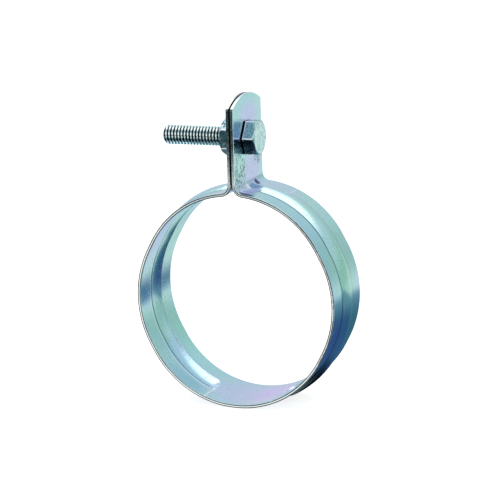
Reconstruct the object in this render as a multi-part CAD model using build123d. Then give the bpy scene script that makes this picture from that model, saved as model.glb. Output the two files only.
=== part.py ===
from build123d import *
import math
import os

# Pipe hanger: a one-piece pressed steel band with two upright ears, closed by
# one hex bolt and one hex nut.  Millimetres.  Origin on the pipe's axis,
# Y along the pipe, Z up to the ears, X along the bolt (head on +X).

# ---------------------------------------------------------------- dimensions
T = 1.0                 # sheet thickness
WIDTH = 23.5            # strip width, along the pipe
R_SEAT = 30.25          # inside radius where the band grips the pipe's sides
SIDE_ANGLE = 28.0       # the gripping arcs run this far above and below level
H_TOP = 31.85           # inside height of the ring above the axis
H_BOTTOM = 31.5         # inside depth of the ring below the axis

EAR_GAP = 0.26          # between the two ears
EAR_BEND_OUT = 2.5      # bend radius at the foot of an ear, on its outer side
EAR_APEX = 60.85        # top of the ears above the axis
EAR_TOP_R = 23.5        # radius of the ears' domed top
EAR_CORNER_R = 0.9      # small rounding of the ears' two corners
BOLT_Z = 47.65          # bolt axis above the pipe's axis
HOLE_R = 3.3            # clearance holes in the ears

RIB_H = 1.1             # the rib stands this far out of the band
RIB_HALF = 4.0          # half width of the groove behind it
RIB_END_BOTTOM = 69.0   # the rib's lower end, degrees below level
RIB_END_TOP = 83.0      # the rib's upper end, degrees above level
RIB_END_HALF = 6.0      # footprint radius of the rib's rounded ends
RIB_END_SLOPE = 35.0    # slope of those ends where they meet the band

MARK_DEG = 68.2         # press line across the front flange at a rib's end
MARK_R = 0.7
MARK_DEPTH = 0.12

BOLT_R = 2.95           # M6 outside the thread
BOLT_LENGTH = 26.2      # under the head
BOLT_TIP = 0.7          # chamfer at the tip
BOLT_TURN = -4.7        # the head came to rest a little off square
HEAD_AF = 10.0
HEAD_H = 4.0
BEARING_R = 4.55        # round bearing face under the head
BEARING_H = 0.3
NUT_AF = 10.0
NUT_H = 5.0
NUT_BORE_R = 3.0
CHAMFER_DEG = 30.0

# ------------------------------------------------------------ derived values
S = math.sin(math.radians(SIDE_ANGLE))
C_BOT = (H_BOTTOM - R_SEAT) / (1 - S)     # lower arc: centre (0, -C_BOT)
R_BOT = R_SEAT - S * C_BOT
C_TOP = (H_TOP - R_SEAT) / (1 - S)        # upper arc: centre (0, C_TOP)
R_TOP = R_SEAT - S * C_TOP
EAR_IN = EAR_GAP / 2                      # inner face of an ear
EAR_OUT = EAR_IN + T                      # outer face of an ear
BEND_IN = EAR_BEND_OUT + T                # bend radius on the inner side


def at(deg, r, cz=0.0):
    """Point at a normal angle on an arc of radius r centred (0, cz)."""
    a = math.radians(deg)
    return (r * math.cos(a), cz + r * math.sin(a))


def half_contour(off):
    """One side of the band's section, from the ear's top to the bottom, as
    (kind, points) pieces.  off is 0 on the inner side and T on the outer."""
    bend = BEND_IN - off
    ear_x = EAR_IN + off
    bx = EAR_IN + BEND_IN                 # centre of the foot bend
    bz = C_TOP + math.sqrt((R_TOP + BEND_IN) ** 2 - bx**2)
    top = (ear_x, EAR_APEX + 3)
    foot = (ear_x, bz)
    # where the bend meets the upper arc
    ang = math.degrees(math.atan2(bz - C_TOP, bx))
    meet = at(ang, R_TOP + off, C_TOP)
    # a point half-way round the bend, from due west to due towards the arc
    mid_deg = (180 + (ang + 180)) / 2
    mid = (bx + bend * math.cos(math.radians(mid_deg)),
           bz + bend * math.sin(math.radians(mid_deg)))
    pieces = [("line", [top, foot]), ("arc", [foot, mid, meet])]
    a28 = at(SIDE_ANGLE, R_TOP + off, C_TOP)
    pieces.append(("arc", [meet, at((ang + SIDE_ANGLE) / 2, R_TOP + off, C_TOP), a28]))
    s28 = at(SIDE_ANGLE, R_SEAT + off)
    pieces.append(("line", [a28, s28]))
    s_28 = at(-SIDE_ANGLE, R_SEAT + off)
    pieces.append(("arc", [s28, at(0, R_SEAT + off), s_28]))
    b28 = at(-SIDE_ANGLE, R_BOT + off, -C_BOT)
    pieces.append(("line", [s_28, b28]))
    low = at(-90, R_BOT + off, -C_BOT)
    pieces.append(("arc", [b28, at((-90 - SIDE_ANGLE) / 2, R_BOT + off, -C_BOT), low]))
    return pieces


def to3d(p, mirror=False):
    return Vector(-p[0] if mirror else p[0], 0, p[1])


def edges_of(pieces, mirror=False):
    out = []
    for kind, pts in pieces:
        v = [to3d(p, mirror) for p in pts]
        out.append(Edge.make_line(v[0], v[1]) if kind == "line"
                   else Edge.make_three_point_arc(v[0], v[1], v[2]))
    return out


def along_y(face, half):
    """A face in the XZ plane made into a solid from -half to half in Y."""
    return extrude(face, amount=half, dir=Vector(0, 1, 0), both=True)


# ------------------------------------------------------------------ the band
inner, outer = half_contour(0), half_contour(T)
loop = []
for mirror in (False, True):
    loop += edges_of(inner, mirror) + edges_of(outer, mirror)
    t_in, t_out = inner[0][1][0], outer[0][1][0]
    loop.append(Edge.make_line(to3d(t_in, mirror), to3d(t_out, mirror)))
strip = along_y(Face(Wire.combine(loop)[0]), WIDTH / 2)

# domed top of both ears, seen along the bolt
half_w = WIDTH / 2
corner_z = EAR_APEX - (EAR_TOP_R - math.sqrt(EAR_TOP_R**2 - half_w**2))
outline = Wire([
    Edge.make_line(Vector(0, -half_w, -60), Vector(0, half_w, -60)),
    Edge.make_line(Vector(0, half_w, -60), Vector(0, half_w, corner_z)),
    Edge.make_three_point_arc(Vector(0, half_w, corner_z),
                              Vector(0, 0, EAR_APEX),
                              Vector(0, -half_w, corner_z)),
    Edge.make_line(Vector(0, -half_w, corner_z), Vector(0, -half_w, -60)),
])
envelope = extrude(Face(outline), amount=60, dir=Vector(1, 0, 0), both=True)
corners = [e for e in envelope.edges()
           if abs(e.center().Z - corner_z) < 0.01 and e.length > 100]
envelope = fillet(corners, EAR_CORNER_R)
strip = strip & envelope

# clearance holes for the bolt
strip -= Pos(0, 0, BOLT_Z) * Rot(0, 90, 0) * Cylinder(HOLE_R, 12)


# ------------------------------------------------------------------ the ribs
def rib_path(sign):
    """Inner contour from level to past one end of the rib (sign -1 down)."""
    if sign > 0:
        r, c, end = R_TOP, C_TOP, RIB_END_TOP
    else:
        r, c, end = R_BOT, -C_BOT, -RIB_END_BOTTOM
    a = sign * SIDE_ANGLE
    end += sign * 2.0
    pieces = [
        ("arc", [at(0, R_SEAT), at(a / 2, R_SEAT), at(a, R_SEAT)]),
        ("line", [at(a, R_SEAT), at(a, r, c)]),
        ("arc", [at(a, r, c), at((a + end) / 2, r, c), at(end, r, c)]),
    ]
    return Wire(edges_of(pieces))


def rib_bar(ball, level, depth):
    """A bar with a domed section, following the band through both ends.
    ball is the section's radius, level the surface it stands on and depth
    how far it reaches below that surface."""
    centre = R_SEAT + level + RIB_H - ball
    section = (Pos(centre, 0, 0) * Circle(ball)) & (
        Pos(R_SEAT + level - depth + 10, 0, 0) * Rectangle(20, 30))
    bar = None
    for sign in (1, -1):
        s = sweep(section.face(), path=rib_path(sign))
        bar = s if bar is None else bar + s
    return bar


def end_ball(sign, level, ball):
    """Ball that rounds off a rib's end."""
    if sign > 0:
        r, c, end = R_TOP, C_TOP, RIB_END_TOP
    else:
        r, c, end = R_BOT, -C_BOT, RIB_END_BOTTOM
    back = math.degrees(RIB_END_HALF / (r + T))
    x, z = at(sign * (end - back), r + T - ball * math.cos(math.radians(RIB_END_SLOPE)), c)
    return x, z, sign * (end - back)


ball_out = RIB_END_HALF / math.sin(math.radians(RIB_END_SLOPE))
r_in = (RIB_HALF**2 + RIB_H**2) / (2 * RIB_H)    # groove section radius
r_out = r_in + T                                  # rib section radius


def rib(section_r, level, depth, ball):
    bar = rib_bar(section_r, level, depth)
    tx, tz, tdeg = end_ball(1, level, ball_out)
    bx, bz, bdeg = end_ball(-1, level, ball_out)
    far = 60
    wedge = Face(Wire.make_polygon([
        to3d((0, -C_BOT)), to3d(at(bdeg, far, -C_BOT)), to3d((90, 0)),
        to3d(at(tdeg, far, C_TOP)), to3d((0, C_TOP))], close=True))
    keep = along_y(wedge, 12)
    keep += Pos(tx, 0, tz) * Sphere(ball)
    keep += Pos(bx, 0, bz) * Sphere(ball)
    return bar & keep


bump = rib(r_out, T, 0.45, ball_out)
groove = rib(r_in, 0, 0.6, ball_out - T)

# press line across the front flange at the lower end of each rib
mx, mz = at(-MARK_DEG, R_BOT - MARK_R + MARK_DEPTH, -C_BOT)
mark_len = WIDTH / 2 - RIB_HALF + 1.2
mark = Pos(mx, -WIDTH / 2 - 0.5 + mark_len / 2, mz) * Rot(90, 0, 0) * Cylinder(MARK_R, mark_len)

band = strip
for flip in (False, True):
    b, g, m = bump, groove, mark
    if flip:
        b, g, m = (x.mirror(Plane.YZ) for x in (b, g, m))
    band = band + b
    band = band - g
    band = band - m
band = band.clean()


# ------------------------------------------------------------------ the bolt
def hex_blank(af, h, x0, turn, both):
    """Hexagon along X from x0, its corners cut back at CHAMFER_DEG."""
    r = af / math.sqrt(3)
    prism = extrude(Plane.YZ * RegularPolygon(r, 6), amount=h, dir=Vector(1, 0, 0))
    # a cone-ended blank of revolution trims the corners
    flat_r = af / 2 * 0.97
    drop = (r + 0.5 - flat_r) * math.tan(math.radians(CHAMFER_DEG))
    pts = [(0, 0)]
    pts += [(0, flat_r), (drop, r + 0.5)] if both else [(0, r + 0.5)]
    pts += [(h - drop, r + 0.5), (h, flat_r), (h, 0)]
    profile = Face(Wire.make_polygon([Vector(x, 0, y) for x, y in pts], close=True))
    blank = revolve(profile, axis=Axis.X)
    body = prism & blank
    return Pos(x0, 0, BOLT_Z) * Rot(turn, 0, 0) * body


tip_x = EAR_OUT - BOLT_LENGTH
shank_profile = Face(Wire.make_polygon([
    Vector(tip_x, 0, 0), Vector(tip_x, 0, BOLT_R - BOLT_TIP),
    Vector(tip_x + BOLT_TIP, 0, BOLT_R), Vector(EAR_OUT + 1, 0, BOLT_R),
    Vector(EAR_OUT + 1, 0, 0)], close=True))
shank = Pos(0, 0, BOLT_Z) * revolve(shank_profile, axis=Axis.X)
# a vertex of the head faces forward
bolt = hex_blank(HEAD_AF, HEAD_H - BEARING_H, EAR_OUT + BEARING_H, BOLT_TURN, False) + shank
bolt += Pos(EAR_OUT + BEARING_H / 2, 0, BOLT_Z) * Rot(0, 90, 0) * Cylinder(BEARING_R, BEARING_H)

# ------------------------------------------------------------------- the nut
# a flat of the nut faces forward
nut = hex_blank(NUT_AF, NUT_H, -EAR_OUT - NUT_H, 30, True)
nut -= Pos(-EAR_OUT - NUT_H / 2, 0, BOLT_Z) * Rot(0, 90, 0) * Cylinder(NUT_BORE_R, NUT_H + 2)
for side in (-1, 1):
    face_x = -EAR_OUT - NUT_H if side < 0 else -EAR_OUT
    mouth = revolve(Face(Wire.make_polygon([
        Vector(0, 0, 0), Vector(0, 0, NUT_BORE_R + 0.35),
        Vector(-side * 0.2 * 1.75, 0, 0 + NUT_BORE_R - 0.0), Vector(-side * 0.35, 0, 0)],
        close=True)), axis=Axis.X)
    nut -= Pos(face_x, 0, BOLT_Z) * mouth

# -------------------------------------------------------------------- output
os.makedirs("parts", exist_ok=True)
for name, shape in (("pipe_band", band), ("hex_bolt", bolt), ("hex_nut", nut)):
    solids = shape.solids()
    print(name, "solids", len(solids), "volume", round(sum(s.volume for s in solids), 2),
          "valid", all(s.is_valid for s in solids))
    one = solids[0] if len(solids) == 1 else Compound(children=list(solids))
    one.label = name
    export_step(one, f"parts/{name}.step")
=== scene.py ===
import math

import bpy
import numpy as np
from mathutils import Matrix, Vector


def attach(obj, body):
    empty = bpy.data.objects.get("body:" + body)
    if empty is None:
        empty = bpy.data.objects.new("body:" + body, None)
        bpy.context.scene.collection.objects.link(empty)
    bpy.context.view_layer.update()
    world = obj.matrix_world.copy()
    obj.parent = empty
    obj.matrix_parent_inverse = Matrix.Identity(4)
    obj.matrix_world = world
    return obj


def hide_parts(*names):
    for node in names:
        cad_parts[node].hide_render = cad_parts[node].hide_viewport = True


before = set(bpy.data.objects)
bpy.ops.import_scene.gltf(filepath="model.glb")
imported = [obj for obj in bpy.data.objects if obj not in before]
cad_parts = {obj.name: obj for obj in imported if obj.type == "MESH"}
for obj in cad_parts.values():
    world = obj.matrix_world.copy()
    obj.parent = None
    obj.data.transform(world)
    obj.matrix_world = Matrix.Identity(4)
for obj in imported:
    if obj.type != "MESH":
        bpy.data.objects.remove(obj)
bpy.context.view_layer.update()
MM = 0.001

# ------------------------------------------------------------------ sizes, mm
T = 1.0                     # sheet thickness
HALF_W = 11.75              # half the strip's width
R_SEAT = 30.25
SIDE = math.radians(28.0)
H_TOP, H_BOTTOM = 31.85, 31.5
EAR_IN = 0.13               # inner face of an ear
BEND_IN = 3.5               # foot bend, on its long side
EAR_APEX, EAR_TOP_R, EAR_CORNER_R = 60.85, 23.5, 0.9
BOLT_Z, HOLE_R = 47.65, 3.3

RIB_H = 1.1
R_GROOVE = (4.0 ** 2 + RIB_H ** 2) / (2 * RIB_H)
R_RIB = R_GROOVE + T
END_FOOT, END_SLOPE = 6.0, math.radians(35.0)
R_END = END_FOOT / math.sin(END_SLOPE)
EDGE = 0.20                 # rounding of the sheared edges

S = math.sin(SIDE)
C_BOT = (H_BOTTOM - R_SEAT) / (1 - S)
R_BOT = R_SEAT - S * C_BOT
C_TOP = (H_TOP - R_SEAT) / (1 - S)
R_TOP = R_SEAT - S * C_TOP
BEND_X = EAR_IN + BEND_IN
BEND_Z = C_TOP + math.sqrt((R_TOP + BEND_IN) ** 2 - BEND_X ** 2)
MEET = math.atan2(BEND_Z - C_TOP, BEND_X)

# The strip's inner line, from the lowest point up the right side to the ear.
RUNS = [R_BOT * (math.pi / 2 - SIDE), C_BOT * math.cos(SIDE), R_SEAT * 2 * SIDE,
        C_TOP * math.cos(SIDE), R_TOP * (MEET - SIDE), BEND_IN * MEET]
ENDS = np.cumsum([0.0] + RUNS)


def line_at(s):
    """Point (x, z) and outward normal of the strip's inner line at length s."""
    i = min(int(np.searchsorted(ENDS, s, side="right")) - 1, 5)
    d = s - ENDS[i]
    if i == 0:
        a = -math.pi / 2 + d / R_BOT
        n = (math.cos(a), math.sin(a))
        return (R_BOT * n[0], R_BOT * n[1] - C_BOT), n
    if i == 1:
        n = (math.cos(SIDE), -math.sin(SIDE))
        k = C_BOT * math.cos(SIDE) - d
        return (R_SEAT * n[0] - k * math.sin(SIDE), R_SEAT * n[1] - k * math.cos(SIDE)), n
    if i == 2:
        a = -SIDE + d / R_SEAT
        n = (math.cos(a), math.sin(a))
        return (R_SEAT * n[0], R_SEAT * n[1]), n
    if i == 3:
        n = (math.cos(SIDE), math.sin(SIDE))
        return (R_SEAT * n[0] - d * math.sin(SIDE), R_SEAT * n[1] + d * math.cos(SIDE)), n
    if i == 4:
        a = SIDE + d / R_TOP
        n = (math.cos(a), math.sin(a))
        return (R_TOP * n[0], R_TOP * n[1] + C_TOP), n
    a = math.pi + MEET - d / BEND_IN
    return ((BEND_X + BEND_IN * math.cos(a), BEND_Z + BEND_IN * math.sin(a)),
            (-math.cos(a), -math.sin(a)))


RIB_LOW = R_BOT * math.radians(90 - 69.0)                       # its two ends,
RIB_HIGH = ENDS[4] + R_TOP * (math.radians(83.0) - SIDE)        # along that line
MARK_AT = R_BOT * math.radians(90 - 68.2)


def smooth_min(a, b, k):
    h = np.clip(0.5 + 0.5 * (b - a) / k, 0, 1)
    return b + (a - b) * h - k * h * (1 - h)


def over_zero(g, k):
    """g where it is positive and 0 elsewhere, turning over a span of k."""
    return np.where(g > k, g, np.where(g < -k, 0.0, (g + k) ** 2 / (4 * k)))


def rib_height(s, y, inside):
    """How far the rib (or the groove behind it) stands out at length s, across y."""
    r, ball, foot = (R_GROOVE, R_END - T, 0.17) if inside else (R_RIB, R_END, 0.11)
    stretch = 1.0 if inside else (R_BOT + T) / R_BOT
    level = R_END * math.cos(END_SLOPE) - (T if inside else 0)
    y = np.asarray(y, float)
    g = np.sqrt(np.maximum(r * r - y * y, 0.01)) - (r - RIB_H)
    beyond = max(RIB_LOW + END_FOOT - s, s - (RIB_HIGH - END_FOOT), 0.0) * stretch
    d2 = beyond ** 2 + y * y
    cap = np.sqrt(np.maximum(ball * ball - d2, 0.01)) - level
    if beyond > 0:
        g = smooth_min(g, cap, 0.22)
    return over_zero(g, foot)


def press_mark(s, y):
    """Depth of the line that the end of the die left across the front flange."""
    u = (s - MARK_AT) * (R_BOT + 0.1) / R_BOT
    g = math.sqrt(max(0.7 ** 2 - u * u, 0.0)) - 0.56
    reach = np.clip((-2.9 - np.asarray(y, float)) / 0.8, 0, 1)
    return over_zero(np.array(g), 0.05) * reach


# ------------------------------------------------------------------ the band
def spread(points, steps):
    out = [points[0]]
    for a, b, n in zip(points, points[1:], steps):
        out += list(np.linspace(a, b, n + 1)[1:])
    return out


half = spread([0, 2.9, 4.6, 5.2, 7.0, 10.8, 11.28, HALF_W - EDGE], [10, 15, 4, 4, 6, 3, 3])
across = [-v for v in half[:0:-1]] + half
turn = [math.radians(v) for v in (22.5, 45, 67.5, 90)]
loop_y = ([-(HALF_W - EDGE + EDGE * math.sin(a)) for a in reversed(turn)] + across
          + [HALF_W - EDGE + EDGE * math.sin(a) for a in turn])
loop_in = ([EDGE * (1 - math.cos(a)) for a in reversed(turn)] + [0.0] * len(across)
           + [EDGE * (1 - math.cos(a)) for a in turn])
loop_y, loop_in = np.array(loop_y), np.array(loop_in)
M = len(loop_y)             # points on the outer side; the inner side mirrors them


def ring_row(s):
    (cx, cz), (nx, nz) = line_at(s)
    out = T + rib_height(s, loop_y, False) - loop_in
    inn = rib_height(s, loop_y, True) + press_mark(s, loop_y) + loop_in
    off = np.concatenate([out, inn[::-1]])
    y = np.concatenate([loop_y, loop_y[::-1]])
    return np.stack([cx + off * nx, y, cz + off * nz], 1)


def dome(y):
    y = np.abs(y)
    centre = EAR_APEX - EAR_TOP_R
    yc = HALF_W - EAR_CORNER_R
    zc = centre + math.sqrt((EAR_TOP_R - EAR_CORNER_R) ** 2 - yc ** 2)
    touch = yc * EAR_TOP_R / (EAR_TOP_R - EAR_CORNER_R)
    return np.where(y < touch, centre + np.sqrt(EAR_TOP_R ** 2 - y ** 2),
                    zc + np.sqrt(np.maximum(EAR_CORNER_R ** 2 - (y - yc) ** 2, 0)))


def ear_row(z=None, u=None, roll=0.0):
    """A row at height z, or at share u of the way from z 54 to the domed top."""
    y = np.concatenate([loop_y, loop_y[::-1]])
    if z is not None:
        zz = np.full(len(y), float(z))
    else:
        top = dome(y)
        zz = 54.0 + u * (top - EDGE - 54.0) + EDGE * math.sin(roll)
    inset = np.maximum(loop_in, EDGE * (1 - math.cos(roll)))
    off = np.concatenate([T - inset, inset[::-1]])
    return np.stack([EAR_IN + off, y, zz], 1)


lengths = spread(
    [0, RIB_LOW - 2.6, MARK_AT - 0.6, MARK_AT + 0.6, RIB_LOW + 4.2, RIB_LOW + 8.0,
     ENDS[1], ENDS[2], ENDS[3], ENDS[4], RIB_HIGH - 8.0, RIB_HIGH - 4.2, ENDS[5], ENDS[6]],
    [8, 9, 12, 14, 8, 16, 3, 38, 4, 22, 8, 22, 18])
rows = [ring_row(s) for s in lengths]
ear_z = spread([BEND_Z, BOLT_Z - 4.6, BOLT_Z + 4.6, 54.0], [7, 10, 2])[1:]
rows += [ear_row(z=z) for z in ear_z]
rows += [ear_row(u=u) for u in (0.2, 0.4, 0.6, 0.8, 0.93, 1.0)]
rows += [ear_row(u=1.0, roll=a) for a in turn]
right = np.array(rows)
left = right[1:] * np.array([-1.0, 1.0, 1.0])
grid = np.concatenate([right[::-1], left])      # right ear's top ... left ear's top
n_rows, n_loop = grid.shape[:2]
verts = [tuple(p) for p in grid.reshape(-1, 3)]


def vid(i, k):
    return i * n_loop + k % n_loop


row_a = len(lengths) + ear_z.index(min(ear_z, key=lambda z: abs(z - BOLT_Z + 4.6)))
row_b = len(lengths) + ear_z.index(min(ear_z, key=lambda z: abs(z - BOLT_Z - 4.6)))
k_a = int(np.argmin(np.abs(loop_y + 4.6)))
k_b = int(np.argmin(np.abs(loop_y - 4.6)))
n_half = len(right)
windows = []
for side in ("right", "left"):
    i0, i1 = (n_half - 1 - row_b, n_half - 1 - row_a) if side == "right" else \
             (n_half - 1 + row_a, n_half - 1 + row_b)
    for face in ("outer", "inner"):
        k0, k1 = (k_a, k_b) if face == "outer" else (2 * M - 1 - k_b, 2 * M - 1 - k_a)
        windows.append((side, face, i0, i1, k0, k1))

cut_loops = {0, 1, M - 3, M - 2, M - 1, M, M + 1, 2 * M - 3, 2 * M - 2, 2 * M - 1}
faces, sharp, cut = [], [], set()
for i in range(n_rows - 1):
    for k in range(n_loop):
        if any(i0 <= i < i1 and k0 <= k < k1 for _, _, i0, i1, k0, k1 in windows):
            continue
        if k in cut_loops or i < 2 or i > n_rows - 4:
            cut.add(len(faces))
        faces.append((vid(i, k), vid(i, k + 1), vid(i + 1, k + 1), vid(i + 1, k)))
for k in range(M - 1):
    cut.update((len(faces), len(faces) + 1))
    a, b, c, d = k, k + 1, 2 * M - 2 - k, 2 * M - 1 - k
    faces.append((vid(0, d), vid(0, c), vid(0, b), vid(0, a)))
    e = n_rows - 1
    faces.append((vid(e, a), vid(e, b), vid(e, c), vid(e, d)))

# each ear's clearance hole, worked into the flat patch round it
hole_rings = {}
for side, face, i0, i1, k0, k1 in windows:
    edge = ([(i0, k) for k in range(k0, k1)] + [(i, k1) for i in range(i0, i1)]
            + [(i1, k) for k in range(k1, k0, -1)] + [(i, k0) for i in range(i1, i0, -1)])
    ids = [vid(i, k) for i, k in edge]
    rings = [ids]
    for radius in (3.75, HOLE_R):
        ring = []
        for v in ids:
            x, y, z = verts[v]
            a = math.atan2(z - BOLT_Z, y)
            ring.append(len(verts))
            verts.append((x, radius * math.cos(a), BOLT_Z + radius * math.sin(a)))
        rings.append(ring)
    n = len(ids)
    for r0, r1 in zip(rings, rings[1:]):
        for j in range(n):
            faces.append((r0[j], r0[(j + 1) % n], r1[(j + 1) % n], r1[j]))
    hole_rings[side, face] = rings[-1]
for side in ("right", "left"):
    outer, inner = hole_rings[side, "outer"], hole_rings[side, "inner"]
    near = {(round(verts[v][1], 4), round(verts[v][2], 4)): v for v in inner}
    twin = [near[round(verts[v][1], 4), round(verts[v][2], 4)] for v in outer]
    n = len(outer)
    for j in range(n):
        sharp.append(len(faces))
        cut.add(len(faces))
        faces.append((outer[j], outer[(j + 1) % n], twin[(j + 1) % n], twin[j]))


def make_mesh(name, points, polygons, hard=()):
    """A mesh from points in mm, its faces turned outward, shaded by area-weighted
    normals; the faces listed in hard keep their own."""
    p = np.array(points, float)
    if sum(np.dot(p[f[0]], np.cross(p[f[1]], p[f[2]])) for f in polygons) < 0:
        polygons = [tuple(reversed(f)) for f in polygons]
    mesh = bpy.data.meshes.new(name)
    mesh.from_pydata((p * MM).tolist(), [], [list(f) for f in polygons])
    mesh.update()
    n_poly, n_loops = len(mesh.polygons), len(mesh.loops)
    own, area = np.zeros(n_poly * 3), np.zeros(n_poly)
    starts, totals = np.zeros(n_poly, int), np.zeros(n_poly, int)
    corner_of = np.zeros(n_loops, int)
    mesh.polygons.foreach_get("normal", own)
    mesh.polygons.foreach_get("area", area)
    mesh.polygons.foreach_get("loop_start", starts)
    mesh.polygons.foreach_get("loop_total", totals)
    mesh.loops.foreach_get("vertex_index", corner_of)
    own = own.reshape(-1, 3)
    face_of = np.repeat(np.arange(n_poly), totals)
    kept = np.ones(n_poly, bool)
    kept[list(hard)] = False
    normals = np.zeros((len(p), 3))
    use = kept[face_of]
    np.add.at(normals, corner_of[use], (own * area[:, None])[face_of[use]])
    length = np.linalg.norm(normals, axis=1)
    normals[length > 0] /= length[length > 0][:, None]
    normals[length == 0] = (0, 0, 1)
    loops = np.where(use[:, None], normals[corner_of], own[face_of])
    mesh.polygons.foreach_set("use_smooth", np.ones(n_poly, bool))
    mesh.normals_split_custom_set(loops.tolist())
    obj = bpy.data.objects.new(name, mesh)
    bpy.context.scene.collection.objects.link(obj)
    return obj


band = make_mesh("hanger_band", verts, faces, sharp)

# length along the strip, place across it and inner or outer side, for the materials
row_s = np.array(lengths + [ENDS[6] + z - BEND_Z for z in ear_z]
                 + [ENDS[6] + 54.0 - BEND_Z + u for u in np.linspace(1, 7, n_half - len(lengths) - len(ear_z))])
row_s = np.concatenate([row_s[::-1], -row_s[1:]])
strip = np.zeros((len(verts), 3))
n_grid = n_rows * n_loop
strip[:n_grid, 0] = np.repeat(row_s, n_loop)
strip[:n_grid, 2] = np.tile(np.concatenate([np.ones(M), np.zeros(M)]), n_rows)
hole = np.array(verts[n_grid:])
strip[n_grid:, 0] = np.sign(hole[:, 0]) * (ENDS[6] + hole[:, 2] - BEND_Z)
strip[n_grid:, 2] = (np.abs(hole[:, 0]) > EAR_IN + T / 2)
strip[:, 1] = np.array(verts)[:, 1]
attribute = band.data.attributes.new("strip", "FLOAT_VECTOR", "POINT")
attribute.data.foreach_set("vector", strip.ravel())
for poly in band.data.polygons:
    poly.material_index = 1 if poly.index in cut else 0


# ------------------------------------------------------- bolt and nut, along X
def hex_outline(af, corner, turn_deg, per_corner=5, per_flat=8):
    """Radius and angle round a hexagon with rounded corners."""
    r = af / 2
    out = []
    for c in range(6):
        mid = math.radians(60 * c + turn_deg)           # a corner's direction
        far = (r - corner) / math.cos(math.pi / 6)
        cx, cy = far * math.cos(mid), far * math.sin(mid)
        for j in range(per_corner):
            a = mid + math.radians(-30 + 60 * j / (per_corner - 1))
            out.append((cx + corner * math.cos(a), cy + corner * math.sin(a)))
        nxt = math.radians(60 * (c + 1) + turn_deg)
        a0, a1 = mid + math.radians(30), nxt - math.radians(30)
        p0 = (cx + corner * math.cos(a0), cy + corner * math.sin(a0))
        p1 = (far * math.cos(nxt) + corner * math.cos(a1), far * math.sin(nxt) + corner * math.sin(a1))
        for j in range(1, per_flat):
            t = j / per_flat
            out.append((p0[0] + (p1[0] - p0[0]) * t, p0[1] + (p1[1] - p0[1]) * t))
    return out


def cone_cut(r, flat_r, angle):
    return max(0.0, r - flat_r) * math.tan(angle)


CHAMFER = math.radians(30.0)
PITCH, CREST, ROOT = 1.0, 2.95, 2.38


def thread_radius(x, phi, crest, root):
    """Radius of a right-hand thread along X: rounded root, narrow flat crest."""
    t = (x / PITCH - phi / (2 * math.pi)) % 1.0
    d = abs(t - 0.5) * 2                        # 0 at the crest, 1 at the root
    flank = min(max((d - 0.05) / 0.73, 0.0), 1.0)
    flank = flank * flank * (3 - 2 * flank) * 0.5 + flank * 0.5
    return crest - (crest - root) * flank


def add_ring(points, ring):
    start = len(points)
    points += ring
    return list(range(start, start + len(ring)))


def bridge(polygons, r0, r1):
    n = len(r0)
    for j in range(n):
        polygons.append((r0[j], r0[(j + 1) % n], r1[(j + 1) % n], r1[j]))


def hex_prism(x0, x1, af, turn_deg, low_cut, high_cut, corner, points, polygons):
    """Side and both chamfers of a hexagon from x0 to x1. Returns its end rings."""
    outline = hex_outline(af, corner, turn_deg)
    flat_r = af / 2 * 0.97
    soft = 0.10
    rings = []

    def ring(shrink, depth, high):
        out = []
        for y, z in outline:
            r = math.hypot(y, z)
            cut = cone_cut(r, flat_r, CHAMFER) if (high_cut if high else low_cut) else 0.0
            x = x1 - cut - depth if high else x0 + cut + depth
            k = (r - shrink) / r
            out.append((x, y * k, BOLT_Z + z * k))
        return out

    rings.append(add_ring(points, ring(soft, 0.0, False)))
    rings.append(add_ring(points, ring(soft * 0.3, soft * 0.3, False)))
    rings.append(add_ring(points, ring(0.0, soft, False)))
    rings.append(add_ring(points, ring(0.0, soft, True)))
    rings.append(add_ring(points, ring(soft * 0.3, soft * 0.3, True)))
    rings.append(add_ring(points, ring(soft, 0.0, True)))
    for a, b in zip(rings, rings[1:]):
        bridge(polygons, a, b)
    return outline, flat_r, rings[0], rings[-1]


def circle_ring(outline, radius, x, points):
    out = []
    for y, z in outline:
        a = math.atan2(z, y)
        out.append((x, radius * math.cos(a), BOLT_Z + radius * math.sin(a)))
    return add_ring(points, out)


def close_disc(points, polygons, ring, x):
    points.append((x, 0.0, BOLT_Z))
    c = len(points) - 1
    n = len(ring)
    for j in range(n):
        polygons.append((ring[j], ring[(j + 1) % n], c))


# the bolt: hexagon head with a bearing face, then the thread down to the tip
HEAD_X0, HEAD_X1 = 1.13, 5.13
points, polygons = [], []
outline, flat_r, low, high = hex_prism(HEAD_X0 + 0.3, HEAD_X1, 10.0, 0.0 - 4.7, False, True, 0.22,
                                       points, polygons)
prev = high
for radius, x in ((flat_r, HEAD_X1), (flat_r - 0.25, HEAD_X1 + 0.0), (3.0, HEAD_X1), (1.4, HEAD_X1)):
    nxt = circle_ring(outline, radius, x, points)
    bridge(polygons, prev, nxt)
    prev = nxt
close_disc(points, polygons, prev, HEAD_X1)
prev = low
for radius, x in ((4.55, HEAD_X0 + 0.30), (4.45, HEAD_X0 + 0.05), (4.38, HEAD_X0), (3.4, HEAD_X0), (CREST, HEAD_X0)):
    nxt = circle_ring(outline, radius, x, points)
    bridge(polygons, nxt, prev)
    prev = nxt

n_phi = len(outline)
phis = [math.atan2(z, y) % (2 * math.pi) for y, z in outline]
TIP_X = -25.07


def shank_radius(x, phi):
    r = thread_radius(x, phi, CREST, ROOT)
    tip = 2.2 + (x - TIP_X) * 1.05
    under = 2.5 + (x - (HEAD_X0 - 0.9)) * 0.6      # plain neck under the head
    r = min(r, tip)
    if x > HEAD_X0 - 0.9:
        r = max(r, min(under, CREST))
    return r


def root_share(x, phi, radius):
    """0 on a crest or where the thread is cut away, 1 at the thread's root."""
    r = thread_radius(x, phi, CREST, ROOT)
    return (CREST - r) / (CREST - ROOT) if abs(r - radius) < 1e-9 else 0.0


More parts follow.
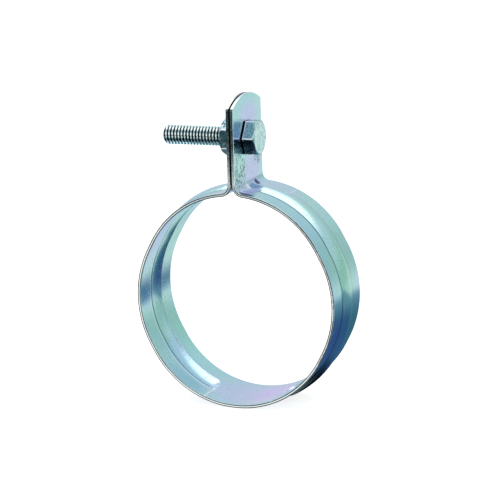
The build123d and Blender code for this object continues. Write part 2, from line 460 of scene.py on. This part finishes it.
xs = np.arange(TIP_X, HEAD_X0 - 0.02, PITCH / 18)
roots = {}
for x in xs[::-1]:
    ring = []
    for (y, z), phi in zip(outline, phis):
        r = shank_radius(x, phi)
        roots[len(points) + len(ring)] = root_share(x, phi, r)
        ring.append((float(x), r * math.cos(phi), BOLT_Z + r * math.sin(phi)))
    nxt = add_ring(points, ring)
    bridge(polygons, nxt, prev)
    prev = nxt
nxt = circle_ring(outline, 1.1, TIP_X, points)
bridge(polygons, nxt, prev)
close_disc(points, polygons, nxt[::-1], TIP_X)
bolt = make_mesh("hex_bolt_m6", points, polygons)
attribute = bolt.data.attributes.new("root", "FLOAT", "POINT")
attribute.data.foreach_set("value", [roots.get(i, 0.0) for i in range(len(points))])

# the nut: chamfered both ways, with a mouth at each end of its thread
points, polygons = [], []
NUT_X0, NUT_X1 = -6.13, -1.13
outline, flat_r, low, high = hex_prism(NUT_X0, NUT_X1, 10.0, 30.0, True, True, 0.2, points, polygons)
prev = high
for radius, x in ((flat_r, NUT_X1), (3.45, NUT_X1), (3.06, NUT_X1 - 0.34)):
    nxt = circle_ring(outline, radius, x, points)
    bridge(polygons, prev, nxt)
    prev = nxt
phis = [math.atan2(z, y) % (2 * math.pi) for y, z in outline]
xs = np.arange(NUT_X0 + 0.36, NUT_X1 - 0.35, PITCH / 14)
for x in xs[::-1]:
    ring = []
    for phi in phis:
        r = thread_radius(x, phi, CREST, ROOT) + 0.07
        ring.append((float(x), r * math.cos(phi), BOLT_Z + r * math.sin(phi)))
    nxt = add_ring(points, ring)
    bridge(polygons, prev, nxt)
    prev = nxt
for radius, x in ((3.06, NUT_X0 + 0.34), (3.45, NUT_X0), (flat_r, NUT_X0)):
    nxt = circle_ring(outline, radius, x, points)
    bridge(polygons, prev, nxt)
    prev = nxt
bridge(polygons, prev, low)
nut = make_mesh("hex_nut_m6", points, polygons)

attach(band, "band")
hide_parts("pipe_band")
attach(bolt, "bolt")
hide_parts("hex_bolt")
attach(nut, "nut")
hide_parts("hex_nut")

# ------------------------------------------------------------------- materials
AQUA = (0.59, 0.83, 0.84)
GREEN = (0.55, 0.82, 0.71)
LAVENDER = (0.71, 0.70, 0.95)
VIOLET = (0.74, 0.61, 1.0)
SKY = (0.50, 0.74, 0.88)
TEAL = (0.34, 0.60, 0.72)
BLUE = (0.40, 0.44, 1.0)


class Nodes:
    """Short names for the nodes that the materials are made of."""

    def __init__(self, tree):
        self.tree = tree

    def put(self, kind, **settings):
        node = self.tree.nodes.new(kind)
        for key, value in settings.items():
            setattr(node, key, value)
        return node

    def join(self, value, socket):
        if isinstance(value, bpy.types.NodeSocket):
            self.tree.links.new(value, socket)
        elif value is not None:
            socket.default_value = value

    def math(self, op, a, b=None, c=None, clamp=False):
        node = self.put("ShaderNodeMath", operation=op, use_clamp=clamp)
        for value, socket in zip((a, b, c), node.inputs):
            self.join(value, socket)
        return node.outputs[0]

    def vector(self, op, a, b=None):
        node = self.put("ShaderNodeVectorMath", operation=op)
        self.join(a, node.inputs[0])
        self.join(b, node.inputs[1])
        return node.outputs["Value"] if op in ("DISTANCE", "DOT_PRODUCT", "LENGTH") else node.outputs[0]

    def span(self, value, low, high, to_low=0.0, to_high=1.0, smooth=True):
        node = self.put("ShaderNodeMapRange", interpolation_type="SMOOTHSTEP" if smooth else "LINEAR")
        for v, i in zip((value, low, high, to_low, to_high), range(5)):
            self.join(v, node.inputs[i])
        return node.outputs[0]

    def noise(self, vector, scale, detail=2.0, rough=0.5, distort=0.0):
        node = self.put("ShaderNodeTexNoise")
        self.join(vector, node.inputs["Vector"])
        node.inputs["Scale"].default_value = scale
        node.inputs["Detail"].default_value = detail
        node.inputs["Roughness"].default_value = rough
        node.inputs["Distortion"].default_value = distort
        return node.outputs["Fac"]

    def mix(self, share, a, b):
        node = self.put("ShaderNodeMix", data_type="RGBA")
        self.join(share, node.inputs[0])
        for value, socket in ((a, node.inputs[6]), (b, node.inputs[7])):
            self.join((*value, 1.0) if isinstance(value, tuple) and len(value) == 3 else value, socket)
        return node.outputs[2]

    def blob(self, place, centre, size, turn=None):
        """1 near centre, falling to 0 at size (a radius for each axis), in mm."""
        scaled = self.vector("MULTIPLY", self.vector("SUBTRACT", place, tuple(c * MM for c in centre)),
                             tuple(1.0 / (v * MM) for v in size))
        return self.span(self.vector("LENGTH", scaled), 0.25, 1.0, 1.0, 0.0)


def start_material(name):
    mat = bpy.data.materials.new(name)
    mat.use_nodes = True
    n = Nodes(mat.node_tree)
    bsdf = mat.node_tree.nodes["Principled BSDF"]
    bsdf.inputs["Metallic"].default_value = 1.0
    return mat, n, bsdf


def film_colour(n, place, violet_places, green_places, spread_mm):
    """The passivated film: aqua that drifts to green, sky blue and lavender."""
    drift = n.noise(place, 1000.0 / spread_mm, 3.0, 0.55, 0.4)
    colour = n.mix(n.span(drift, 0.40, 0.62), AQUA, SKY)
    drift2 = n.noise(n.vector("ADD", place, (0.31, 0.17, 0.05)), 1000.0 / (spread_mm * 1.3), 2.0, 0.5, 0.2)
    colour = n.mix(n.math("MULTIPLY", n.span(drift2, 0.48, 0.66), 0.7), colour, GREEN)
    drift3 = n.noise(n.vector("ADD", place, (0.07, 0.41, 0.23)), 1000.0 / (spread_mm * 1.1), 2.0, 0.5, 0.3)
    colour = n.mix(n.math("MULTIPLY", n.span(drift3, 0.55, 0.72), 0.6), colour, LAVENDER)
    for centre, size, amount, tint in green_places + violet_places:
        colour = n.mix(n.math("MULTIPLY", n.blob(place, centre, size), amount), colour, tint)
    return colour


def band_material():
    mat, n, bsdf = start_material("band_zinc_film")
    place = n.put("ShaderNodeTexCoord").outputs["Object"]
    strip_at = n.put("ShaderNodeAttribute", attribute_name="strip").outputs["Vector"]
    # the blue patch at (1.1, -9, 50), on the ear beside the bolt head, is painted shade of the head
    greens = [((30, 0, 8), (14, 12, 20), 0.95, GREEN), ((-25, 8, 16), (15, 9, 22), 0.9, GREEN),
              ((-30, 3, -9), (8, 12, 14), 0.6, GREEN),
              ((-17, -9, -25), (12, 7, 12), 0.9, TEAL), ((-12, 8, -28), (10, 7, 8), 0.5, GREEN),
              ((1.1, -8, 40), (3, 9, 12), 0.4, GREEN), ((1.1, -9, 50), (3, 4.5, 5), 0.6, BLUE)]
    violets = [((-2, 0, -31), (17, 16, 10), 0.9, LAVENDER), ((7, 1, -30), (9, 13, 8), 0.9, VIOLET),
               ((1.1, 1.6, 54.4), (3, 11, 5.5), 0.8, VIOLET), ((1.1, 3.0, 37.5), (3, 10, 9), 0.85, VIOLET),
               ((23, 9, 22), (12, 7, 12), 0.7, AQUA), ((3, -7, 34), (6, 8, 4), 0.8, LAVENDER),
               ((-26, -9, 17), (10, 6, 14), 0.85, LAVENDER), ((29, -7.5, -12), (7, 4.5, 9), 0.85, BLUE),
               ((-30.5, -8, 1), (6, 5, 7), 0.7, (0.55, 0.62, 1.0)),
               ((-24, 9.5, -18), (14, 7, 22), 0.85, (0.52, 0.86, 0.79))]
    colour = film_colour(n, place, violets, greens, 26.0)
    # rolling lines along the strip, a fine grain and small pits in the plate
    lines = n.noise(n.vector("MULTIPLY", strip_at, (0.06, 3.2, 1.0)), 1.0, 3.0, 0.6)
    fine = n.noise(place, 1400.0, 2.0, 0.5)
    pits = n.span(n.noise(place, 1500.0, 1.0, 0.4), 0.66, 0.74)
    patch = n.span(n.noise(place, 260.0, 2.0, 0.5), 0.42, 0.58)
    spots = n.span(n.noise(place, 1350.0, 2.0, 0.5), 0.50, 0.57)
    ear_pits = n.math("MULTIPLY", spots, patch)
    ear_pits = n.math("MULTIPLY", n.math("MULTIPLY", ear_pits, n.blob(place, (1.1, -6.5, 40.0), (3, 7, 9.5))), 2.6, clamp=True)
    far_pits = n.math("MULTIPLY", n.math("MULTIPLY", spots, n.blob(place, (1.1, 7.8, 41.3), (3, 4.6, 3.6))), 2.0, clamp=True)
    ear_pits = n.math("MAXIMUM", ear_pits, far_pits)
    colour = n.mix(n.math("MULTIPLY", pits, 0.42), colour, (0.14, 0.26, 0.28))
    colour = n.mix(n.math("MULTIPLY", ear_pits, 0.82), colour, (0.06, 0.16, 0.18))
    pits = n.math("MAXIMUM", pits, ear_pits)
    # painted shade: darker lines in the creases that the die pressed along the rib
    parts = n.put("ShaderNodeSeparateXYZ")
    n.join(strip_at, parts.inputs[0])
    run, across, outside = n.math("ABSOLUTE", parts.outputs[0]), parts.outputs[1], parts.outputs[2]
    inside = n.math("SUBTRACT", 1.0, outside)

    def line_at_y(y, core, edge):
        return n.span(n.math("ABSOLUTE", n.math("SUBTRACT", across, y)), core, edge, 1.0, 0.0)

    along = n.math("MULTIPLY", n.span(run, RIB_LOW, RIB_LOW + 3.0), n.span(run, RIB_HIGH - 3.0, RIB_HIGH, 1.0, 0.0))
    outer_crease_shade = n.math("MAXIMUM", line_at_y(-4.6, 0.15, 0.6), n.math("MULTIPLY", line_at_y(4.5, 0.1, 0.9), 0.3))
    before = n.math("MAXIMUM", n.math("SUBTRACT", 24.0, run), 0.0)
    after = n.math("MAXIMUM", n.math("SUBTRACT", run, 24.0), 0.0)
    bow = n.math("MULTIPLY_ADD", n.math("MULTIPLY", before, before), 0.005,
                 n.math("MULTIPLY", n.math("MULTIPLY", after, after), 0.0013))
    past = n.math("SUBTRACT", n.math("SUBTRACT", across, bow), -1.50)
    inner_crease_shade = n.math("MULTIPLY", n.span(past, -0.35, 0.45, 1.0, 0.0), n.span(across, -4.2, -3.9))
    line = n.math("MULTIPLY_ADD", outside, n.math("SUBTRACT", outer_crease_shade, inner_crease_shade), inner_crease_shade)
    colour = n.mix(n.math("MULTIPLY", n.math("MULTIPLY", line, along), 0.90), colour, (0.08, 0.18, 0.29))
    colour = n.mix(n.math("MULTIPLY", n.span(lines, 0.42, 0.72), 0.30), colour, (0.80, 0.92, 0.93))
    colour = n.mix(n.math("MULTIPLY", n.span(fine, 0.52, 0.66), 0.22), colour, (0.30, 0.52, 0.58))
    # painted highlights: white lines on the die's line across the front flange, the rim of
    # the groove's end and the groove's front lip
    wobble = n.math("MULTIPLY", n.math("SUBTRACT", n.noise(place, 240.0, 1.0, 0.4), 0.5), 0.5)
    gap = n.math("ABSOLUTE", n.math("ADD", n.math("SUBTRACT", run, MARK_AT), wobble))
    press = n.math("MULTIPLY", n.span(gap, 0.14, 0.46, 1.0, 0.0), n.span(across, -3.4, -2.7, 1.0, 0.0))
    press = n.math("MULTIPLY", press, n.math("LESS_THAN", parts.outputs[0], 0.0))
    short = n.math("MAXIMUM", n.math("SUBTRACT", RIB_LOW + END_FOOT, run), 0.0)
    reach = n.math("SQRT", n.math("ADD", n.math("MULTIPLY", short, short), n.math("MULTIPLY", across, across)))
    rim = n.math("MULTIPLY", n.span(n.math("ABSOLUTE", n.math("SUBTRACT", reach, 5.65)), 0.10, 0.40, 1.0, 0.0),
                 n.span(short, 1.5, 4.0))
    rim = n.math("MULTIPLY", rim, n.span(across, -1.0, 1.5, 1.0, 0.25))
    lip = n.math("MULTIPLY", n.math("MULTIPLY", line_at_y(-4.35, 0.22, 0.60), along), 0.8)
    painted_highlight = n.math("MULTIPLY", n.math("MAXIMUM", n.math("MAXIMUM", press, rim), lip), inside)
    colour = n.mix(n.math("MULTIPLY", painted_highlight, 0.92), colour, (0.90, 0.96, 1.0))
    # painted highlight: a fainter white press line across the rib's far side, near its upper end
    gap = n.math("ABSOLUTE", n.math("ADD", n.math("SUBTRACT", run, 84.9), wobble))
    press = n.math("MULTIPLY", n.span(gap, 0.06, 0.34, 1.0, 0.0), n.span(across, -2.0, 1.5))
    press = n.math("MULTIPLY", n.math("MULTIPLY", press, outside), n.math("GREATER_THAN", parts.outputs[0], 0.0))
    colour = n.mix(n.math("MULTIPLY", press, 0.70), colour, (0.93, 0.98, 1.0))
    # painted reflections where the rib and the front edge run into the foot bend: dull,
    # blue to black, with one painted white glint between them
    patch_noise = n.math("SUBTRACT", n.noise(place, 900.0, 2.0, 0.6), 0.5)
    painted_light_share = None
    for centre, size, amount, tint in (
            ((2.8, 0.3, 32.9), (2.6, 4.4, 2.2), 0.85, (0.11, 0.28, 0.50)),
            ((3.9, -7.6, 32.6), (2.8, 1.5, 2.0), 0.50, (0.14, 0.14, 0.56)),
            ((1.9, -2.7, 33.4), (1.7, 1.25, 1.9), 0.60, (0.96, 1.0, 1.0)),
            ((2.0, 4.5, 33.4), (1.8, 1.9, 1.8), 0.92, (0.012, 0.035, 0.16)),
            ((4.1, -10.6, 32.6), (3.9, 1.9, 2.4), 0.98, (0.008, 0.011, 0.075))):
        mark = n.span(n.math("MULTIPLY_ADD", patch_noise, 1.3, n.blob(place, centre, size)), 0.30, 0.74)
        mark = n.math("MULTIPLY", n.math("MULTIPLY", mark, outside), amount)
        colour = n.mix(mark, colour, tint)
        painted_light_share = mark if painted_light_share is None else n.math("MAXIMUM", painted_light_share, mark)
    n.join(n.math("SUBTRACT", 1.0, painted_light_share), bsdf.inputs["Metallic"])
    bsdf.inputs["Specular IOR Level"].default_value = 0.05
    # painted shade: the two ears' facing sides are painted near black and rough
    ear_gap_shade = n.math("MULTIPLY", n.span(run, ENDS[6] - 2.5, ENDS[6]), inside)
    colour = n.mix(ear_gap_shade, colour, (0.010, 0.014, 0.016))
    n.join(colour, bsdf.inputs["Base Color"])
    cloud = n.noise(place, 90.0, 3.0, 0.6)
    rough = n.math("MULTIPLY_ADD", n.span(cloud, 0.35, 0.7), 0.07, 0.125)
    rough = n.math("MULTIPLY_ADD", n.math("SUBTRACT", fine, 0.5), 0.06, rough)
    rough = n.math("MULTIPLY_ADD", pits, 0.12, rough)
    rough = n.math("MULTIPLY_ADD", ear_gap_shade, 0.5, rough)
    n.join(rough, bsdf.inputs["Roughness"])
    wave = n.noise(place, 55.0, 1.0, 0.4)
    height = n.math("MULTIPLY_ADD", lines, 0.10, n.math("MULTIPLY_ADD", fine, 0.05, n.math("MULTIPLY", wave, 1.6)))
    height = n.math("MULTIPLY_ADD", pits, -0.25, height)
    bump = n.put("ShaderNodeBump")
    bump.inputs["Strength"].default_value = 0.35
    bump.inputs["Distance"].default_value = 0.00012
    n.join(height, bump.inputs["Height"])
    n.join(bump.outputs[0], bsdf.inputs["Normal"])
    return mat


def cut_material():
    mat, n, bsdf = start_material("band_cut_edge")
    place = n.put("ShaderNodeTexCoord").outputs["Object"]
    strip_at = n.put("ShaderNodeAttribute", attribute_name="strip").outputs["Vector"]
    parts = n.put("ShaderNodeSeparateXYZ")
    n.join(place, parts.inputs[0])
    shear = n.noise(n.vector("MULTIPLY", strip_at, (1.1, 0.4, 0.5)), 1.0, 3.0, 0.6)
    colour = n.mix(n.span(shear, 0.35, 0.7), (0.93, 0.96, 0.95), (1.0, 1.0, 1.0))
    grime = n.span(n.noise(place, 260.0, 3.0, 0.6), 0.58, 0.76)
    colour = n.mix(n.math("MULTIPLY", grime, 0.25), colour, (0.42, 0.46, 0.42))
    thick = n.put("ShaderNodeSeparateXYZ")
    n.join(strip_at, thick.inputs[0])
    # painted shade: dark lines along both corners of the cut edge, below the ears
    edge_corner_shade = n.math("ABSOLUTE", n.math("SUBTRACT", thick.outputs[2], 0.5))
    edge_corner_shade = n.math("MULTIPLY", n.span(edge_corner_shade, 0.14, 0.30), n.span(parts.outputs[2], 0.034, 0.036, 1.0, 0.0))
    edge_corner_shade = n.math("MULTIPLY", edge_corner_shade, n.span(n.noise(place, 70.0, 2.0, 0.5), 0.30, 0.60, 0.72, 1.0))
    colour = n.mix(edge_corner_shade, colour, (0.035, 0.060, 0.066))
    # on the right the outer half of the edge is rough and brown where it sheared
    torn = n.math("MULTIPLY", n.span(thick.outputs[2], 0.40, 0.56), n.span(parts.outputs[0], 0.012, 0.024))
    torn = n.math("MULTIPLY", torn, n.span(n.noise(place, 900.0, 2.0, 0.6), 0.38, 0.56, 0.25, 0.92))
    torn = n.math("MULTIPLY", torn, n.span(parts.outputs[2], -0.026, -0.014))
    colour = n.mix(torn, colour, (0.115, 0.100, 0.080))
    # painted shade: the ears' front edges darken upwards, and so does the slit between them
    high = n.math("MULTIPLY", n.span(parts.outputs[2], 0.036, 0.048), n.span(parts.outputs[1], -0.0110, -0.0116))
    speckled = n.span(n.noise(place, 1300.0, 2.0, 0.5), 0.42, 0.62, 0.70, 0.96)
    colour = n.mix(n.math("MULTIPLY", high, speckled), colour, (0.045, 0.085, 0.080))
    slit_shade = n.math("MULTIPLY", n.span(n.math("ABSOLUTE", parts.outputs[0]), 0.00026, 0.00040, 1.0, 0.0),
                  n.span(parts.outputs[2], 0.0345, 0.036))
    colour = n.mix(slit_shade, colour, (0.010, 0.014, 0.016))
    n.join(colour, bsdf.inputs["Base Color"])
    rough = n.math("MULTIPLY_ADD", shear, 0.14, 0.10)
    n.join(n.math("MULTIPLY_ADD", slit_shade, 0.4, rough), bsdf.inputs["Roughness"])
    bump = n.put("ShaderNodeBump")
    bump.inputs["Strength"].default_value = 0.25
    bump.inputs["Distance"].default_value = 0.00004
    n.join(shear, bump.inputs["Height"])
    n.join(bump.outputs[0], bsdf.inputs["Normal"])
    return mat


def fastener_material(name, offset, speckle, wash, share, painted_light_share, flat_deg, dark):
    mat, n, bsdf = start_material(name)
    place = n.vector("ADD", n.put("ShaderNodeTexCoord").outputs["Object"], offset)
    colour = n.mix(share, film_colour(n, place, [], [], 7.0), wash)
    speck = n.noise(place, 1250.0, 3.0, 0.6)
    colour = n.mix(n.math("MULTIPLY", n.span(speck, 0.48, 0.60), speckle), colour, dark)
    glint = n.noise(n.vector("ADD", place, (0.3, 0.1, 0.2)), 900.0, 2.0, 0.5)
    colour = n.mix(n.math("MULTIPLY", n.span(glint, 0.58, 0.70), 0.6), colour, (0.97, 1.0, 1.0))
    # painted highlight: white, less metallic lines on the hexagon's corners and round its face against the ear
    here = n.put("ShaderNodeSeparateXYZ")
    n.join(n.put("ShaderNodeTexCoord").outputs["Object"], here.inputs[0])
    up = n.math("SUBTRACT", here.outputs[2], BOLT_Z * MM)
    far = n.math("SQRT", n.math("ADD", n.math("MULTIPLY", up, up), n.math("MULTIPLY", here.outputs[1], here.outputs[1])))
    # painted shade: the flat that faces down and forward is painted blue-black
    facing = math.radians(flat_deg)
    low = n.math("MULTIPLY_ADD", up, math.sin(facing), n.math("MULTIPLY", here.outputs[1], math.cos(facing)))
    colour = n.mix(n.math("MULTIPLY", n.span(low, 0.00475, 0.00492), painted_light_share), colour, (0.020, 0.045, 0.085))
    corner = n.math("MULTIPLY", n.span(far, 0.00558, 0.00568), 0.9)
    reach = n.math("ABSOLUTE", here.outputs[0])
    foot = n.math("MULTIPLY", n.span(reach, 0.00157, 0.00163), n.span(reach, 0.00176, 0.00190, 1.0, 0.0))
    foot = n.math("MULTIPLY", n.math("MULTIPLY", foot, n.span(up, -0.0008, 0.0004)), n.span(far, 0.0047, 0.0049))
    corner = n.math("MAXIMUM", corner, n.math("MULTIPLY", foot, 0.7))
    colour = n.mix(corner, colour, (0.98, 1.0, 1.0))
    n.join(n.math("MULTIPLY_ADD", corner, -0.6, 1.0), bsdf.inputs["Metallic"])
    # painted shade: near black in the gap where the head and the nut sit against the ears
    seat_gap_shade = n.math("MULTIPLY", n.span(n.math("ABSOLUTE", here.outputs[0]), 0.00150, 0.00158, 1.0, 0.0), n.span(far, 0.00425, 0.00440))
    colour = n.mix(seat_gap_shade, colour, (0.006, 0.010, 0.016))
    # the thread: painted highlight on the crests and painted shade in the roots
    root = n.put("ShaderNodeAttribute", attribute_name="root").outputs["Fac"]
    crest = n.math("GREATER_THAN", root, 0.001)
    colour = n.mix(n.math("MULTIPLY", n.span(root, 0.30, 0.62, 1.0, 0.0), crest), colour, (0.97, 1.0, 1.0))
    colour = n.mix(n.span(root, 0.58, 0.88), colour, (0.016, 0.026, 0.030))
    n.join(colour, bsdf.inputs["Base Color"])
    n.join(n.math("MULTIPLY_ADD", n.span(speck, 0.4, 0.7), 0.12, 0.09), bsdf.inputs["Roughness"])
    bump = n.put("ShaderNodeBump")
    bump.inputs["Strength"].default_value = 0.28
    bump.inputs["Distance"].default_value = 0.00005
    dents = n.noise(place, 520.0, 2.0, 0.5)
    n.join(n.math("MULTIPLY_ADD", speck, 0.3, dents), bump.inputs["Height"])
    n.join(bump.outputs[0], bsdf.inputs["Normal"])
    return mat


band.data.materials.append(band_material())
band.data.materials.append(cut_material())
for poly in band.data.polygons:
    poly.material_index = 1 if poly.index in cut else 0
bolt.data.materials.append(fastener_material("bolt_zinc_film", (0.0, 0.0, 0.0), 0.42, (0.86, 0.97, 0.93), 0.55, 0.85, 205.3,
                                             (0.10, 0.22, 0.27)))
nut.data.materials.append(fastener_material("nut_zinc_film", (0.05, 0.02, 0.01), 0.9, (0.22, 0.40, 0.44), 0.8, 0.4, 240.0,
                                            (0.03, 0.07, 0.08)))

# ---------------------------------------------------------------------- stage
FLOOR_Z = -(H_BOTTOM + T) * MM


def quad(name, corners, material):
    mesh = bpy.data.meshes.new(name)
    mesh.from_pydata(corners, [], [(0, 1, 2, 3)])
    mesh.materials.append(material)
    obj = bpy.data.objects.new(name, mesh)
    bpy.context.scene.collection.objects.link(obj)
    return obj


mat = bpy.data.materials.new("studio_paper")
mat.use_nodes = True
paper = mat.node_tree.nodes["Principled BSDF"]
paper.inputs["Base Color"].default_value = (0.5, 0.5, 0.5, 1)
paper.inputs["Roughness"].default_value = 0.95
paper.inputs["Specular IOR Level"].default_value = 0.0
paper.inputs["Emission Color"].default_value = (1, 1, 1, 1)
paper.inputs["Emission Strength"].default_value = 0.78
floor = quad("studio_floor", [(-6, -6, FLOOR_Z), (6, -6, FLOOR_Z), (6, 6, FLOOR_Z), (-6, 6, FLOOR_Z)], mat)
floor.visible_glossy = False

# a dark card lying on the studio table behind the ring, seen only in the metal
mat = bpy.data.materials.new("studio_dark_card")
mat.use_nodes = True
mat.node_tree.nodes.clear()
n = Nodes(mat.node_tree)
place = n.put("ShaderNodeTexCoord").outputs["Object"]
axes = n.put("ShaderNodeSeparateXYZ")
n.join(place, axes.inputs[0])
# painted shadow: the card turns black near the ring, where the ring's contact shadow falls
core = n.blob(place, (18, 4, FLOOR_Z / MM), (25, 22, 10))
lean = n.math("SUBTRACT", axes.outputs[1], axes.outputs[0])
shade = n.mix(n.span(lean, 0.010, 0.036), (0.045, 0.108, 0.235), (0.050, 0.172, 0.215))
shade = n.mix(n.span(n.vector("DISTANCE", place, (0.02, 0.02, FLOOR_Z)), 0.05, 0.13), shade, (0.15, 0.30, 0.41))
shade = n.mix(core, shade, (0.004, 0.006, 0.010))
cover = n.math("MULTIPLY", n.span(axes.outputs[0], -0.006, 0.015), n.span(axes.outputs[1], 0.125, 0.185, 1.0, 0.0))
cover = n.math("MULTIPLY", cover, n.span(axes.outputs[1], -0.012, 0.004))
clear = n.put("ShaderNodeBsdfTransparent").outputs[0]
glow = n.put("ShaderNodeEmission")
n.join(shade, glow.inputs["Color"])
both = n.put("ShaderNodeMixShader")
n.join(cover, both.inputs[0])
n.join(clear, both.inputs[1])
n.join(glow.outputs[0], both.inputs[2])
n.join(both.outputs[0], n.put("ShaderNodeOutputMaterial").inputs[0])
z = FLOOR_Z + 0.0002
card = quad("dark_card", [(-0.1, -0.1, z), (0.6, -0.1, z), (0.6, 0.3, z), (-0.1, 0.3, z)], mat)

# the studio beyond the paper's front edge is dark
mat = bpy.data.materials.new("studio_dark_room")
mat.use_nodes = True
mat.node_tree.nodes.clear()
n = Nodes(mat.node_tree)
axes = n.put("ShaderNodeSeparateXYZ")
n.join(n.put("ShaderNodeTexCoord").outputs["Object"], axes.inputs[0])
glow = n.put("ShaderNodeEmission")
glow.inputs["Color"].default_value = (0.07, 0.14, 0.16, 1)
both = n.put("ShaderNodeMixShader")
n.join(n.span(axes.outputs[1], -0.36, -0.27, 1.0, 0.0), both.inputs[0])
n.join(n.put("ShaderNodeBsdfTransparent").outputs[0], both.inputs[1])
n.join(glow.outputs[0], both.inputs[2])
n.join(both.outputs[0], n.put("ShaderNodeOutputMaterial").inputs[0])
room = quad("dark_room", [(-5, -5, z), (5, -5, z), (5, -0.2, z), (-5, -0.2, z)], mat)
for piece in (card, room):
    for ray in ("visible_camera", "visible_diffuse", "visible_shadow", "visible_transmission",
                "visible_volume_scatter"):
        setattr(piece, ray, False)

# the light tent, by direction: bright above and behind, darker to the front and left
world = bpy.data.worlds.new("studio")
bpy.context.scene.world = world
world.use_nodes = True
world.node_tree.nodes.clear()
n = Nodes(world.node_tree)
way = n.put("ShaderNodeTexCoord").outputs["Generated"]
axes = n.put("ShaderNodeSeparateXYZ")
n.join(way, axes.inputs[0])
wx, wy, wz = axes.outputs
low = n.mix(n.span(wx, -0.15, 0.25), (0.53, 0.68, 0.79), (0.68, 0.83, 0.81))
near = n.mix(n.span(wz, -0.42, -0.28), (0.50, 0.72, 0.75), (1.1, 1.12, 1.1))
low = n.mix(n.span(wy, -0.6, -0.45, 1.0, 0.0), low, near)
floor_dark = n.mix(n.span(wy, -0.10, 0.22, 1.0, 0.0), (0.20, 0.38, 0.44), (0.010, 0.028, 0.060))
low = n.mix(n.math("MULTIPLY", n.span(wz, -0.66, -0.50, 1.0, 0.0), n.span(wy, 0.55, 0.35)), low, floor_dark)
level = n.mix(n.span(wx, -0.35, 0.15), (0.70, 0.70, 0.82), (0.43, 0.61, 0.57))
sky = n.mix(n.span(wz, -0.16, 0.02), low, level)
sky = n.mix(n.span(wz, 0.08, 0.42), sky, (0.60, 0.72, 0.77))
sky = n.mix(n.span(wz, 0.49, 0.86), sky, (1.75, 1.68, 1.70))
dusk = n.mix(n.span(wz, 0.04, 0.12), (0.02, 0.035, 0.05), (1.5, 1.5, 1.5))
beside = n.mix(n.span(wx, 0.0, 0.30), (0.28, 0.43, 0.48), (0.24, 0.38, 0.48))
dusk = n.mix(n.span(wz, 0.42, 0.60), dusk, beside)
shut = n.math("MAXIMUM", n.math("MULTIPLY", n.span(wx, 0.41, 0.50), n.span(wz, 0.52, 0.64)),
              n.math("MULTIPLY", n.span(wx, -0.2, 0.0), n.span(wz, 0.82, 0.88)))
dusk = n.mix(shut, dusk, (0.015, 0.03, 0.06))
dusk = n.mix(n.span(wz, 0.90, 0.97), dusk, (1.5, 1.5, 1.5))
front = n.math("MULTIPLY", n.span(wy, -0.30, 0.05, 1.0, 0.0), n.span(wz, -0.16, -0.02))
sky = n.mix(n.math("MULTIPLY", front, 0.95), sky, dusk)
side = n.math("MULTIPLY", n.span(wx, -0.92, -0.62, 1.0, 0.0), n.span(wz, 0.25, 0.6, 1.0, 0.0))
sky = n.mix(n.math("MULTIPLY", side, 0.92), sky, (0.015, 0.022, 0.03))
lit = n.math("MULTIPLY", n.span(wx, 0.15, 0.50), n.span(wy, -0.15, 0.05, 1.0, 0.0))
lit = n.math("MULTIPLY", lit, n.math("MULTIPLY", n.span(wz, -0.45, -0.25), n.span(wz, 0.45, 0.62, 1.0, 0.0)))
sky = n.mix(lit, sky, (1.6, 1.65, 1.65))
plain = n.mix(n.put("ShaderNodeLightPath").outputs["Is Glossy Ray"], (1.0, 1.0, 1.0), sky)
lamp = n.put("ShaderNodeBackground")
n.join(plain, lamp.inputs["Color"])
n.join(lamp.outputs[0], n.put("ShaderNodeOutputWorld").inputs[0])

bpy.context.scene.view_settings.view_transform = "Standard"

cam_data = bpy.data.cameras.new("camera")
cam_data.sensor_width = 36.0
cam_data.lens = 192.04
cam = bpy.data.objects.new("camera", cam_data)
bpy.context.scene.collection.objects.link(cam)
az, el, roll = (math.radians(v) for v in (21.248, 12.458, -1.692))
back = Vector((math.sin(az) * math.cos(el), -math.cos(az) * math.cos(el), math.sin(el)))
right_v = Vector((0, 0, 1)).cross(back).normalized()
up_v = back.cross(right_v)
cx = right_v * math.cos(roll) + up_v * math.sin(roll)
cy = -right_v * math.sin(roll) + up_v * math.cos(roll)
rot = Matrix((cx, cy, back)).transposed()
place = rot @ Vector((0.352, 13.048, 800.0)) * MM
cam.matrix_world = Matrix.Translation(place) @ rot.to_4x4()
bpy.context.scene.camera = cam

bpy.context.view_layer.update()
